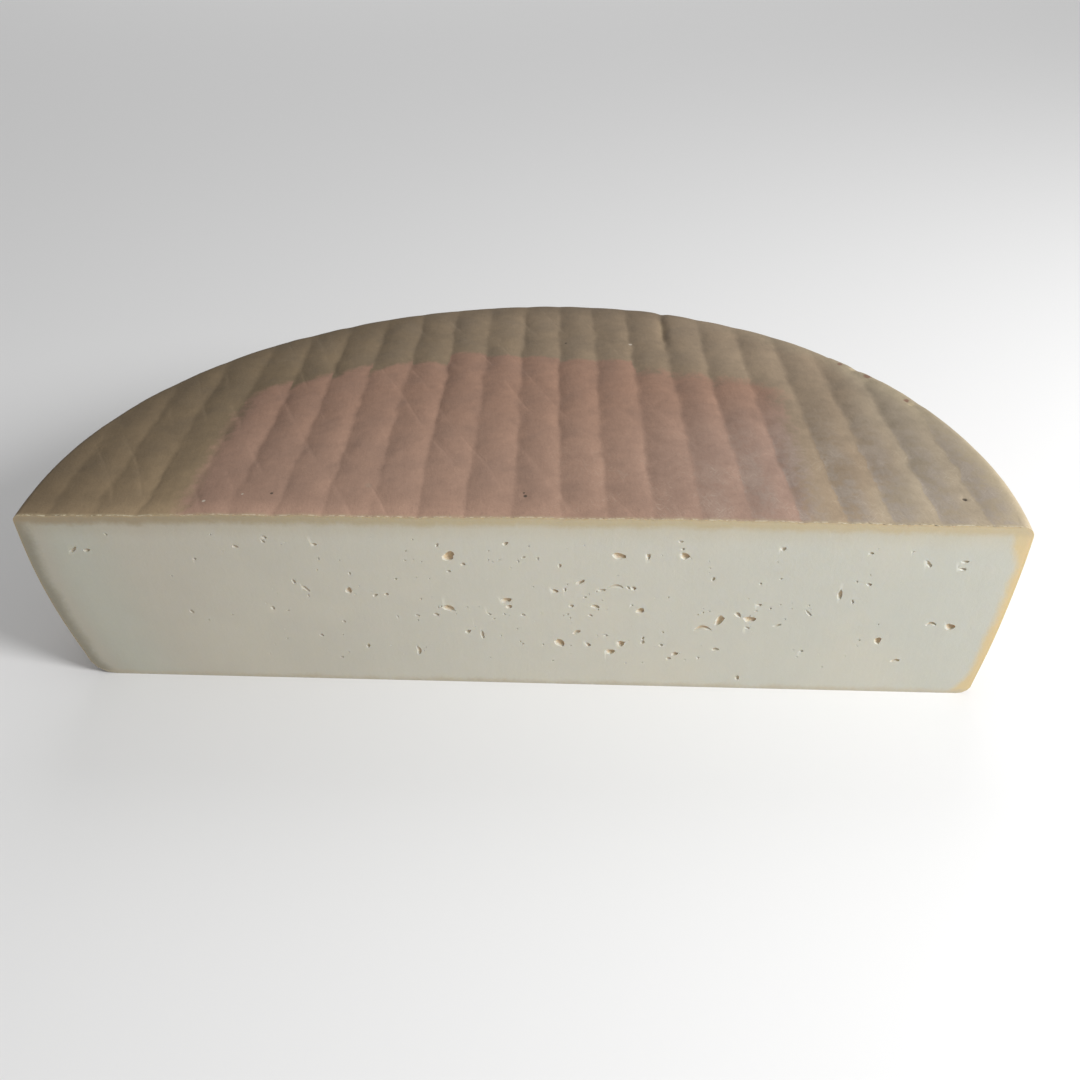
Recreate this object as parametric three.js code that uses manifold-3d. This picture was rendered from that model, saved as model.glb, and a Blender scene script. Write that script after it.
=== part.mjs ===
// Half of a round, rinded cheese wheel as cut through with a knife, lying on its flat bottom face.
// One solid body: the rind and the paste grew together, and nothing on it comes apart.
// Millimetres, +Z up. The origin is on the wheel's own axis, on the face it rests on.
// The cut face looks towards -Y and runs along X.
import * as THREE from "three";
import { mergeVertices } from "three/addons/utils/BufferGeometryUtils.js";
import Module from "manifold-3d";

// Driving dimensions of the wheel
const wheelRadius = 147; // mean radius at the widest level of the side
const rimHeight = 66.3; // height of the top face at its rim
const topDome = 1.3; // rise of the top face from its rim to its middle
const bottomFillet = 6; // rounding between the bottom face and the side
const rimFillet = 3; // rounding between the side and the top face
const widestLevel = 0.8; // level of the side's widest ring, as a share of rimHeight
const sideTaper = 0.0735; // share of the radius lost one rimHeight away from the widest ring
const cutOffset = 9.6; // the knife passed this far in front of the wheel's axis

// Slight out-of-roundness of a wheel that was pressed and turned by hand,
// as shares of the radius: [number of lobes round the wheel, cosine share, sine share]
const outOfRound = [
  [2, 0.022, 0],
  [3, 0, 0.009],
  [4, 0.003, -0.005],
];

// Ribs left on the top face by the slatted board that the wheel drained on
const ribPitch = 13.9; // from one groove to the next
const ribPhase = 1.9; // X of the groove nearest the axis
const ribLean = -0.053; // sideways run of a groove per millimetre towards +Y
const grooveHalfWidth = 1.7;
const grooveDepth = 0.5;

// Fineness of the facets
const wheelSegments = 96;
const filletSteps = 3;
const sideSteps = 6;
const domeSteps = 3;
const grooveSteps = 4;

const clearOfWheel = 20; // how far a cutter reaches past the wheel

// Radius of the side at height z, a flat curve about the widest ring.
function sideRadius(z) {
  const level = z / rimHeight - widestLevel;
  return wheelRadius * (1 - sideTaper * level * level);
}

// Height of the top face at distance r from the axis, a shallow dome.
function topHeight(r) {
  const share = r / wheelRadius;
  return rimHeight + topDome * (1 - share * share);
}

// Quarter arc about (cx, cz), from one angle to another, as profile points.
function arcPoints(cx, cz, radius, fromAngle, toAngle) {
  const points = [];
  for (let i = 0; i <= filletSteps; i += 1) {
    const angle = fromAngle + ((toAngle - fromAngle) * i) / filletSteps;
    points.push(new THREE.Vector2(cx + radius * Math.cos(angle), cz + radius * Math.sin(angle)));
  }
  return points;
}

// Outline of the wheel from the middle of the bottom, up the side, to the middle of the top.
function wheelProfile() {
  const bottomCentre = sideRadius(bottomFillet) - bottomFillet;
  const rimCentre = sideRadius(rimHeight - rimFillet) - rimFillet;
  const rimTop = topHeight(rimCentre);
  const points = [new THREE.Vector2(0, 0)];
  points.push(...arcPoints(bottomCentre, bottomFillet, bottomFillet, -Math.PI / 2, 0));
  const sideStart = bottomFillet;
  const sideEnd = rimTop - rimFillet;
  for (let i = 1; i < sideSteps; i += 1) {
    const z = sideStart + ((sideEnd - sideStart) * i) / sideSteps;
    points.push(new THREE.Vector2(sideRadius(z), z));
  }
  points.push(...arcPoints(rimCentre, sideEnd, rimFillet, 0, Math.PI / 2));
  for (let i = domeSteps - 1; i >= 0; i -= 1) {
    const r = (rimCentre * i) / domeSteps;
    points.push(new THREE.Vector2(r, topHeight(r)));
  }
  return points;
}

// Moves every vertex in or out along its own radius, so that the round wheel gets its true outline.
function pressOutOfRound(geometry) {
  const position = geometry.attributes.position;
  for (let i = 0; i < position.count; i += 1) {
    const x = position.getX(i);
    const y = position.getY(i);
    const angle = Math.atan2(y, x);
    let share = 1;
    for (const [lobes, cosine, sine] of outOfRound) {
      share += cosine * Math.cos(lobes * angle) + sine * Math.sin(lobes * angle);
    }
    position.setXY(i, x * share, y * share);
  }
}

// The whole wheel before it was cut.
function wheelGeometry() {
  const geometry = new THREE.LatheGeometry(wheelProfile(), wheelSegments);
  geometry.rotateX(Math.PI / 2);
  pressOutOfRound(geometry);
  return geometry;
}

// Everything in front of the knife, as one block.
function cutAwayGeometry() {
  const reach = wheelRadius + clearOfWheel;
  const depth = reach - cutOffset;
  const geometry = new THREE.BoxGeometry(2 * reach, depth, rimHeight + 2 * clearOfWheel);
  geometry.translate(0, -cutOffset - depth / 2, rimHeight / 2);
  return geometry;
}

// One V groove across the top face. Its bottom follows the dome and its walls rise clear of it.
function grooveGeometry(index) {
  const riseOver = 2;
  const slope = grooveHalfWidth / grooveDepth;
  const shape = new THREE.Shape();
  shape.moveTo(0, -grooveDepth);
  shape.lineTo(slope * (riseOver + grooveDepth), riseOver);
  shape.lineTo(-slope * (riseOver + grooveDepth), riseOver);
  const length = wheelRadius + cutOffset + 2 * clearOfWheel;
  const geometry = new THREE.ExtrudeGeometry(shape, {
    depth: length,
    steps: grooveSteps,
    bevelEnabled: false,
  });
  geometry.rotateX(Math.PI / 2);
  geometry.translate(0, wheelRadius + clearOfWheel, 0);
  const position = geometry.attributes.position;
  const start = ribPhase + index * ribPitch;
  for (let i = 0; i < position.count; i += 1) {
    const y = position.getY(i);
    const x = position.getX(i) + start + ribLean * y;
    position.setX(i, x);
    position.setZ(i, position.getZ(i) + topHeight(Math.hypot(start + ribLean * y, y)));
  }
  return geometry;
}

const wasm = await Module();
wasm.setup();

// A closed geometry as a solid that can be cut.
function solidFrom(geometry) {
  const bare = geometry.clone();
  bare.deleteAttribute("normal");
  bare.deleteAttribute("uv");
  const merged = mergeVertices(bare, 1e-4);
  return new wasm.Manifold(
    new wasm.Mesh({
      numProp: 3,
      vertProperties: new Float32Array(merged.attributes.position.array),
      triVerts: new Uint32Array(merged.index.array),
    }),
  );
}

// A solid back as a geometry.
function geometryFrom(solid) {
  const mesh = solid.getMesh();
  const geometry = new THREE.BufferGeometry();
  geometry.setAttribute("position", new THREE.BufferAttribute(mesh.vertProperties, 3));
  geometry.setIndex(new THREE.BufferAttribute(mesh.triVerts, 1));
  geometry.computeVertexNormals();
  return geometry;
}

// The half wheel: the whole wheel, less what the knife took, less the grooves of the top face.
function halfWheelGeometry() {
  let solid = solidFrom(wheelGeometry()).subtract(solidFrom(cutAwayGeometry()));
  const groovesEachSide = Math.floor((wheelRadius - 2 * rimFillet) / ribPitch);
  for (let index = -groovesEachSide; index <= groovesEachSide; index += 1) {
    solid = solid.subtract(solidFrom(grooveGeometry(index)));
  }
  return geometryFrom(solid);
}

const rindAndPaste = new THREE.MeshStandardMaterial({
  color: new THREE.Color().setRGB(0.68, 0.62, 0.52, THREE.SRGBColorSpace),
  roughness: 0.6,
  metalness: 0,
});

const halfWheel = new THREE.Mesh(halfWheelGeometry(), rindAndPaste);
halfWheel.name = "half_wheel";

const cheese = new THREE.Group();
cheese.add(halfWheel);

export default cheese;
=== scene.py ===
import math
import bpy
import bmesh
import numpy as np
from mathutils import Matrix, Vector


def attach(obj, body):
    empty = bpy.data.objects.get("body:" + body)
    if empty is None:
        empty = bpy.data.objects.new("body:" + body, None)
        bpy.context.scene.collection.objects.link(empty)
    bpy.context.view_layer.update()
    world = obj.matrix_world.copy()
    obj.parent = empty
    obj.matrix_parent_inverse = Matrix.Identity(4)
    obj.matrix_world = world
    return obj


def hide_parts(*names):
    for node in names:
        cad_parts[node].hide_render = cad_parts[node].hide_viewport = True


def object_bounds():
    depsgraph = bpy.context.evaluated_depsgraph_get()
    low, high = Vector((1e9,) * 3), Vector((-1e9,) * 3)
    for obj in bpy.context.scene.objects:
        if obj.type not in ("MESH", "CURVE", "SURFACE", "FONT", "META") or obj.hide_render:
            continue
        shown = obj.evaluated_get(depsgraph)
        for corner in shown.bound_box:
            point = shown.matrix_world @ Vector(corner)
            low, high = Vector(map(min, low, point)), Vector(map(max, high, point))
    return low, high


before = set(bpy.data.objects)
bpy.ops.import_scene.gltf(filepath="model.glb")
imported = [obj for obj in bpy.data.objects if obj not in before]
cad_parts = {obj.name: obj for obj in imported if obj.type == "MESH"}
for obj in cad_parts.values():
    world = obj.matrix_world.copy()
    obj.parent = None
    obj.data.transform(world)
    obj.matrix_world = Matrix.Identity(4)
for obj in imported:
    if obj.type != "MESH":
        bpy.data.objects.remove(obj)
cadLow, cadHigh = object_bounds()
mm = 0.001  # a length times mm is in metres; the lists that are in plain millimetres say so


# Camera: close to the cut and above it, looking down on the ribbed top. Angles in degrees.
camera = dict(
    place=(31.2 * mm, -238.2 * mm, 233.8 * mm),
    down=37.21,
    left=5.19,
    roll=-2.38,
    lens=32.70,
    sensor=36.0,
)


def addCamera(look):
    # The view direction from the two angles, then both side directions turned by the roll.
    down = math.radians(look["down"])
    yaw = -math.radians(look["left"])
    roll = math.radians(look["roll"])
    forward = Vector((math.sin(yaw) * math.cos(down), math.cos(yaw) * math.cos(down), -math.sin(down)))
    level = Vector((math.cos(yaw), -math.sin(yaw), 0.0))
    upright = level.cross(forward)
    right = level * math.cos(roll) + upright * math.sin(roll)
    up = upright * math.cos(roll) - level * math.sin(roll)
    turn = Matrix((right, up, -forward)).transposed()
    data = bpy.data.cameras.new("camera")
    data.lens = look["lens"]
    data.sensor_width = look["sensor"]
    data.clip_start = 0.01
    data.clip_end = 20.0
    cam = bpy.data.objects.new("camera", data)
    cam.matrix_world = Matrix.Translation(Vector(look["place"])) @ turn.to_4x4()
    bpy.context.collection.objects.link(cam)
    bpy.context.scene.camera = cam
    print("camera placed")


addCamera(camera)


# The wheel's overall shape. Its top and its cut follow the frame's box.
wheel = dict(
    radius=146.9 * mm,
    lobes=((2, 0.022, 0.0), (3, 0.0, 0.009), (4, 0.003, -0.005)),  # out of round: count, cosine, sine
    top=cadHigh.z,
    dome=1.3 * mm,  # rise of the top from its rim to its middle
    cutY=cadLow.y,
    taper=0.0735,
    widest=0.8,  # share of the rim's height where the side stands out most
    steeper=0.028,  # how much less it tapers at +X
    filletRight=4.5 * mm,  # rounding of the bottom's rim at +X, at the back and at -X
    filletBack=6.0 * mm,
    filletLeft=8.5 * mm,
    shoulderRight=3.7 * mm,  # rounding of the top's rim at +X, at the back and at -X
    shoulderBack=4.0 * mm,
    shoulderLeft=2.6 * mm,
    follow=14 * mm,  # how far down the side follows the ups and downs of the top's rim
    swell=0.16 * mm,  # depth of the side's dents and creases
    dentLength=45 * mm,
    creaseLength=11 * mm,
    calm=9 * mm,  # both fade out this far from the top and the bottom
)
rimHeight = wheel["top"] - wheel["dome"]


def outlineShare(angle):
    # Share of the mean radius at an angle: one, plus a few cosine and sine lobes.
    share = np.ones_like(angle)
    for count, cosine, sine in wheel["lobes"]:
        share = share + cosine * np.cos(count * angle) + sine * np.sin(count * angle)
    return share


def sideRadius(z):
    # Mean radius at a height: a flat parabola about the widest level.
    level = z / rimHeight - wheel["widest"]
    return wheel["radius"] * (1 - wheel["taper"] * level**2)


def sideBlend(angle, right, back, left):
    # A value that goes from right to back to left as the squared cosine of the angle does.
    toRight = np.clip(np.cos(angle), 0, 1) ** 2
    toLeft = np.clip(-np.cos(angle), 0, 1) ** 2
    return right * toRight + left * toLeft + back * (1 - toRight - toLeft)


def shoulderAt(angle):
    return sideBlend(angle, wheel["shoulderRight"], wheel["shoulderBack"], wheel["shoulderLeft"])


def waves(points, seed, count, length):
    # Smooth noise, mostly between -1 and 1: plane waves with random directions, lengths and phases.
    rng = np.random.default_rng(seed)
    heading = rng.normal(size=(count, points.shape[-1]))
    heading /= np.linalg.norm(heading, axis=1, keepdims=True)
    number = 2 * np.pi / (length * rng.uniform(0.7, 1.6, count))
    phase = rng.uniform(0, 2 * np.pi, count)
    heights = np.sin(points @ (heading * number[:, None]).T + phase)
    return 0.6 * heights.sum(-1) / math.sqrt(count / 2)


def pair(*values):
    return np.stack(np.broadcast_arrays(*values), -1)


# Ribs that the drying mat pressed into the top.
ribs = dict(
    side=10,  # grooves on each side of the middle one
    start=-0.50 * mm,
    pitch=13.81 * mm,
    drift=(3.01 * mm, -0.79 * mm, 0.06 * mm, -0.15 * mm, 0.13 * mm),
    lean=-0.0494,
    fan=-0.15,  # change of the lean per metre of X
    depth=0.64 * mm,
    front=0.5,  # share of the depth beside the axis, and how much of it is added towards the back
    back=0.72,
    backReach=95 * mm,
    flatter=0.45,  # share of the depth lost just behind the cut, but not at the left
    flatterReach=10 * mm,
    fadeRight=12 * mm,  # the grooves run out this far from the rim at +X, at the back and at -X
    fadeBack=8.5 * mm,
    fadeLeft=8 * mm,
    fullness=2.4,  # how flat each rib's crown is
    soft=0.13,  # rounding at the bottom of a groove, as a share of half a rib
    notch=0.05 * mm,
    notchWidth=0.8 * mm,
    waver=0.3 * mm,
    ragged=0.38 * mm,
    gap=(4, 119 * mm, 14 * mm, 0.9 * mm),  # one groove gapes: number, place, half its length, depth
    gapWidth=1.7 * mm,
)

# Slanting folds of a cloth that lay over the ribs.
folds = dict(
    slope=0.53,  # sideways run for each step towards the cut
    pitch=14.2 * mm,
    start=3.0 * mm,
    depth=0.09 * mm,
    width=1.4 * mm,
    tilt=0.24 * mm,  # each scale between two folds lies lower on its left
)

# Dents in the rim and small pits in the top: X, Y, radius and depth, in millimetres.
dents = (
    (116.0, 84.0, 2.2, 0.5),
    (120.5, 76.5, 1.8, 0.5),
    (131.0, 61.0, 2.0, 0.45),
    (108.0, 95.0, 1.6, 0.4),
    (134.0, 4.0, 0.8, 0.5),
    (5.5, 2.0, 1.2, 0.45),
    (-43.0, 6.0, 1.1, 0.35),
)

# What else keeps the top from being smooth, and the ragged burr that the knife left along the cut.
uneven = dict(
    slow=0.15 * mm,
    slowLength=60 * mm,
    fine=0.04 * mm,
    fineLength=8 * mm,
    lengthwise=0.10 * mm,
    lengthwiseLength=16 * mm,
    burr=0.25 * mm,
    burrReach=0.35 * mm,
)


def ribX(k, y):
    # X of line k at a depth: even steps, a slow drift, a lean, a slight waver and a ragged edge.
    front = ribs["start"] + ribs["pitch"] * k
    turn = np.clip(np.pi * (k + ribs["side"]) / (2 * ribs["side"]), 0, np.pi)
    for n, amount in enumerate(ribs["drift"]):
        front = front + amount * np.sin((n + 1) * turn)
    lean = ribs["lean"] + ribs["fan"] * front
    waver = 0.6 * np.sin(y / (5.5 * mm) + 2.3 * k) + np.sin(y / (19 * mm) + 1.4 * k)
    ragged = waves(pair(6 * mm * k, y), 19, 14, 9 * mm)
    return front + lean * (y - wheel["cutY"]) + waver * ribs["waver"] + ragged * ribs["ragged"]


def ribNumber(x, y):
    # Rib number at a point: the inverse of ribX, by a few steps of correction.
    k = (x - ribs["start"]) / ribs["pitch"]
    for _ in range(14):
        k = k + 0.9 * (x - ribX(k, y)) / ribs["pitch"]
    return k


def ribLobe(k):
    # 0 on a rib's crown and 1 in the grooves beside it.
    away = 1 - np.abs(2 * (k - np.floor(k)) - 1)
    away = np.hypot(away, ribs["soft"]) - ribs["soft"]
    return np.clip(1 - away, 0, 1) ** ribs["fullness"]


def foldNumber(x, y):
    # Fold number at a point: uneven steps across slanting lines that bend slowly.
    bend = waves(pair(x, y), 11, 12, 70 * mm) * 1.3 * mm
    f = (x + folds["slope"] * y + bend - folds["start"]) / folds["pitch"]
    return f + 0.18 * np.sin(2.3 * f + 1)


def foldShow(x, y):
    # Where the folds show: in patches, in front and at the left, hardly at the right.
    patch = waves(pair(x, y), 12, 12, 30 * mm)
    right = 1 / (1 + np.exp(-(x - 45 * mm) / (12 * mm)))
    return np.clip(0.4 + 1.1 * patch, 0, 1) * (1 - 0.8 * right)


def ribDepth(x, y, fade):
    # How deep the grooves, the fine notch in each and the one gaping groove are at a point.
    k = ribNumber(x, y)
    along = waves(pair(0.7 * k, y / (30 * mm)), 13, 12, 1.6)
    depth = ribs["depth"] * (ribs["front"] + ribs["back"] * np.clip(y / ribs["backReach"], 0, 1))
    depth = depth * (1 + 0.25 * along)
    flatter = ribs["flatter"] * np.clip((x + 112 * mm) / (25 * mm), 0, 1)
    depth = depth * (1 - flatter * np.exp(-(((y - wheel["cutY"]) / ribs["flatterReach"]) ** 2)))
    offset = (k - np.round(k)) * ribs["pitch"]
    notch = ribs["notch"] * np.exp(-((offset / ribs["notchWidth"]) ** 2)) * (1 + 0.6 * along)
    number, place, half, deep = ribs["gap"]
    across = (k - number) * ribs["pitch"] / ribs["gapWidth"]
    gap = np.exp(-(across**2) - ((y - place) / half) ** 4)
    return (depth * ribLobe(k) + notch) * fade + deep * gap


def foldDepth(x, y, fade):
    # A shallow line on each fold, and the slope of the scale between two folds.
    f = foldNumber(x, y)
    offset = (f - np.round(f)) * folds["pitch"]
    depth = folds["depth"] * np.exp(-((offset / folds["width"]) ** 2))
    depth = depth + folds["tilt"] * (1 - (f - np.floor(f))) ** 2
    return depth * foldShow(x, y) * fade


def dentDepth(x, y):
    # The sum of all dents, each a round bell.
    depth = 0 * x
    for centreX, centreY, radius, deep in dents:
        away = ((x - centreX * mm) ** 2 + (y - centreY * mm) ** 2) / (radius * mm) ** 2
        depth = depth + deep * mm * np.exp(-away)
    return depth


def unevenHeight(x, y, fade):
    # Slow, fine and lengthwise noise, and the burr along the cut.
    z = uneven["slow"] * (waves(pair(x, y), 14, 12, uneven["slowLength"]) - 0.6)
    z = z + uneven["fine"] * waves(pair(x, y), 15, 24, uneven["fineLength"])
    lengthwise = waves(pair(x, 0.45 * y), 18, 20, uneven["lengthwiseLength"])
    z = z + uneven["lengthwise"] * lengthwise * fade
    ragged = waves(pair(x), 16, 30, 2.6 * mm) + 0.5 * waves(pair(x), 17, 9, 30 * mm)
    behind = np.exp(-(y - wheel["cutY"]) / uneven["burrReach"])
    return z + uneven["burr"] * np.clip(ragged, 0, 1) * behind


def topHeight(x, y):
    # Height of the top: a dome, less the grooves, folds and dents, plus the unevenness.
    angle = np.arctan2(y, x)
    fromRim = np.clip(sideRadius(rimHeight) * outlineShare(angle) - np.hypot(x, y), 0, None)
    reach = sideBlend(angle, ribs["fadeRight"], ribs["fadeBack"], ribs["fadeLeft"])
    fade = 1 - 0.93 * np.exp(-((fromRim / reach) ** 2))
    z = rimHeight + wheel["dome"] * (1 - (x**2 + y**2) / wheel["radius"] ** 2)
    z = z - ribDepth(x, y, fade) - foldDepth(x, y, fade) - dentDepth(x, y)
    return np.minimum(z + unevenHeight(x, y, fade), cadHigh.z - 0.02 * mm)


# The half wheel is one closed profile, carried from one end of the cut to the other: up the cut
# face, back over the top, down the side and forward under the bottom. Each column is one profile.
grid = dict(
    perRib=18,
    endColumns=20,
    bottomRows=9,
    sideRows=14,
    filletRows=5,
    shoulderRows=9,
    topEdge=(0, 0.25, 0.5, 0.8, 1.2, 1.8, 2.6),  # first rows behind the cut, in mm
    topRows=100,
    drawIn=0.09,  # how far columns are drawn towards the nearest groove, as a share of a rib
    ease=1.6,  # how the columns close up towards both corners
    steps=80,  # steps of correction in placing the columns
)

# The mat's faint print under the bottom: its depth, and how much closer its ribs lie.
matPrint = dict(depth=0.25 * mm, stretch=1.03)


def ringEnds(radius):
    # Angles at which a ring of this mean radius meets the cut, by a few steps of correction.
    right = np.zeros_like(radius)
    left = np.full_like(radius, np.pi)
    for _ in range(20):
        right = np.arcsin(wheel["cutY"] / (radius * outlineShare(right)))
        left = np.pi - np.arcsin(wheel["cutY"] / (radius * outlineShare(left)))
    return right, left


def columnPlan():
    # Each column's share of the way round the side, and of the way along the cut. In the middle a
    # column follows its rib; towards both ends the columns close up evenly into the corner.
    count = 2 * ribs["side"] * grid["perRib"]
    k = np.linspace(ribs["side"], -ribs["side"], count + 1)
    # Closer together near the grooves: each number is drawn towards its nearest groove.
    k = k - grid["drawIn"] * np.sin(2 * np.pi * k)
    front = ribX(k, wheel["cutY"])
    radius = np.array([sideRadius(rimHeight)])
    x = front
    y = np.zeros_like(x)
    for _ in range(grid["steps"]):
        reach = radius * outlineShare(np.arctan2(y, x))
        y = 0.5 * y + 0.5 * np.sqrt(np.clip(reach**2 - x**2, 0, None))
        x = 0.5 * x + 0.5 * ribX(k, y)
    angle = np.arctan2(y, x)
    right, left = ringEnds(radius)
    rightX = radius * outlineShare(right) * np.cos(right)
    leftX = radius * outlineShare(left) * np.cos(left)
    t = np.linspace(0, 1, grid["endColumns"] + 1)
    ease = 1 - (1 - t) ** grid["ease"]
    toRight = right + (angle[0] - right) * t[:-1], rightX + (front[0] - rightX) * ease[:-1]
    toLeft = left + (angle[-1] - left) * t[-2::-1], leftX + (front[-1] - leftX) * ease[-2::-1]
    angle = np.concatenate([toRight[0], angle, toLeft[0]])
    front = np.concatenate([toRight[1], front, toLeft[1]])
    return (angle - right) / (left - right), (front - rightX) / (leftX - rightX)


def sideRowsAt(turned):
    # The side from the bottom face to the top's rim: fillet, bulging wall and shoulder.
    # Gives x, y and z as rows by columns; every ring runs from the cut round to the cut.
    shoulder = shoulderAt(np.pi * turned)
    fillet = sideBlend(np.pi * turned, wheel["filletRight"], wheel["filletBack"], wheel["filletLeft"])
    bend = np.linspace(0, np.pi / 2, grid["filletRows"])[:-1, None]
    t = np.linspace(0, 1, grid["sideRows"])[:, None]
    wall = fillet + (rimHeight - shoulder - fillet) * t
    z = [fillet * (1 - np.cos(bend)) + 0 * shoulder, wall]
    radius = [sideRadius(fillet) - fillet * (1 - np.sin(bend)) + 0 * shoulder, sideRadius(wall)]
    bend = np.linspace(0, np.pi / 2, grid["shoulderRows"])[1:, None]
    z.append(rimHeight - shoulder * (1 - np.sin(bend)))
    radius.append(sideRadius(rimHeight - shoulder) - shoulder * (1 - np.cos(bend)))
    z = np.concatenate(z)
    radius = np.concatenate(radius)
    right, left = ringEnds(radius)
    angle = right + (left - right) * turned
    # Slow dents and upright creases from the press cloth.
    way = angle * wheel["radius"]
    swell = waves(pair(way, 0.6 * z), 21, 14, wheel["dentLength"])
    swell = swell + 0.5 * waves(pair(way, 0.25 * z), 22, 16, wheel["creaseLength"])
    fromBottom = np.clip(z / wheel["calm"], 0, 1)
    fromTop = np.clip((rimHeight + 1 * mm - z) / wheel["calm"], 0, 1)
    steeper = wheel["steeper"] * (z / rimHeight - wheel["widest"]) ** 2
    steeper = steeper * np.clip(np.cos(angle), 0, 1) ** 2
    reach = radius * outlineShare(angle) * (1 + steeper)
    reach = reach - wheel["swell"] * (swell + 1.4) * fromBottom * fromTop
    x = reach * np.cos(angle)
    y = reach * np.sin(angle)
    y[:, [0, -1]] = wheel["cutY"]
    return x, y, z


def halfWheelGrid():
    turned, across = columnPlan()
    x, y, z = sideRowsAt(turned)
    # Top: straight columns from the cut to the rim, with close rows beside the cut.
    edge = np.array(grid["topEdge"]) * mm
    longest = y[-1].max() - wheel["cutY"]
    share = np.append(edge[:-1], np.linspace(edge[-1], longest, grid["topRows"])) / longest
    frontX = x[-1, 0] + (x[-1, -1] - x[-1, 0]) * across
    topX = frontX + (x[-1] - frontX) * share[:, None]
    topY = wheel["cutY"] + (y[-1] - wheel["cutY"]) * share[:, None]
    topZ = topHeight(topX, topY)
    topZ[:, 0] = topZ[0, 0]
    topZ[:, -1] = topZ[0, -1]
    # The shoulder rises or sinks with the top's own rim.
    z = z + (topZ[-1] - z[-1]) * np.clip(1 - (rimHeight - z) / wheel["follow"], 0, 1) ** 2
    # Cut face: stretched between its four edges, as the sum of both spans less the corners.
    bottomX = x[0, 0] + (x[0, -1] - x[0, 0]) * across
    up = (z[:, :1] / z[-1, 0]) * (1 - across) + (z[:, -1:] / z[-1, -1]) * across
    faceX = (1 - up) * bottomX + up * frontX + (1 - across) * x[:, :1] + across * x[:, -1:]
    faceX -= (1 - up) * ((1 - across) * x[0, 0] + across * x[0, -1])
    faceX -= up * ((1 - across) * x[-1, 0] + across * x[-1, -1])
    faceZ = up * topZ[0]
    faceY = np.full_like(faceX, wheel["cutY"])
    # Bottom: flat, with a faint print of the mat, from the side's lowest ring forward to the cut.
    under = np.linspace(0, 1, grid["bottomRows"] + 1)[1:-1, None]
    underX = x[0] + (bottomX - x[0]) * under
    underY = y[0] + (wheel["cutY"] - y[0]) * under
    mat = ribLobe(ribNumber(underX * matPrint["stretch"], underY)) * 4 * under * (1 - under)
    underZ = matPrint["depth"] * mat
    loop = [
        np.stack([faceX, faceY, faceZ], -1),
        np.stack([topX, topY, topZ], -1)[1:],
        np.stack([x, y, z], -1)[-2::-1],
        np.stack([underX, underY, underZ], -1),
    ]
    onFace = np.zeros(sum(len(part) for part in loop), int)
    onFace[: len(faceX) - 1] = 1
    return np.concatenate(loop), onFace, (x, z)


def closedMesh(name, points, slots):
    # A grid whose rows close on themselves becomes a mesh. Rows that meet at the two corners are
    # joined there, and all faces are turned outwards.
    rows, columns = points.shape[:2]
    index = np.arange(rows * columns).reshape(rows, columns)
    after = np.roll(index, -1, axis=0)
    quads = np.stack([index[:, :-1], index[:, 1:], after[:, 1:], after[:, :-1]], -1)
    mesh = bpy.data.meshes.new(name)
    mesh.from_pydata(points.reshape(-1, 3), [], quads.reshape(-1, 4))
    mesh.polygons.foreach_set("material_index", np.repeat(slots, columns - 1).astype(np.int32))
    work = bmesh.new()
    work.from_mesh(mesh)
    bmesh.ops.remove_doubles(work, verts=work.verts, dist=0.002 * mm)
    bmesh.ops.recalc_face_normals(work, faces=work.faces)
    gaps = sum(not e.is_manifold for e in work.edges)
    print(name, len(work.faces), "faces,", gaps, "open edges")
    work.to_mesh(mesh)
    work.free()
    return mesh


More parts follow.
